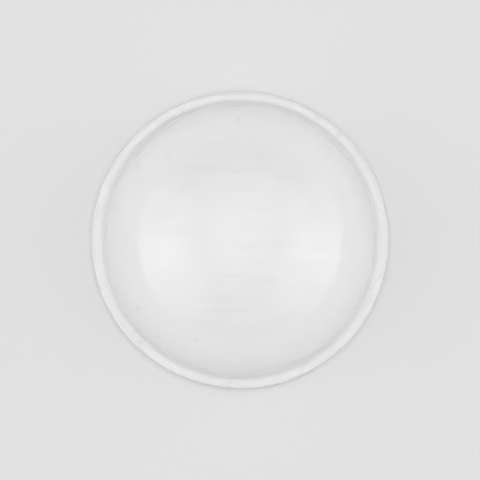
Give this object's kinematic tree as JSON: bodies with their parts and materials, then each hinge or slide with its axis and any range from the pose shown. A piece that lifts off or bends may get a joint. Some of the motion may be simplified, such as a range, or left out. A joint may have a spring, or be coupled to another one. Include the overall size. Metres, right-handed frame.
{
  "type": "cabinet door bumper",
  "caption": "Round self-adhesive bumper: a clear soft dome with a thin rim on a disc of adhesive, which stops a cabinet door or drawer from banging.",
  "frame": {"origin": "centre of the adhesive's lower face, which sticks to the cabinet", "axes": "+Z out of the cabinet along the dome's axis, towards its crown; X and Y lie in the adhesive's lower face"},
  "size_m": [0.01, 0.01, 0.004],
  "materials": {
    "clear_polyurethane": "satin",
    "adhesive": "satin"
  },
  "bodies": {
    "root": {"adhesive_disc": "adhesive", "dome": "clear_polyurethane"}
  },
  "joints": []
}
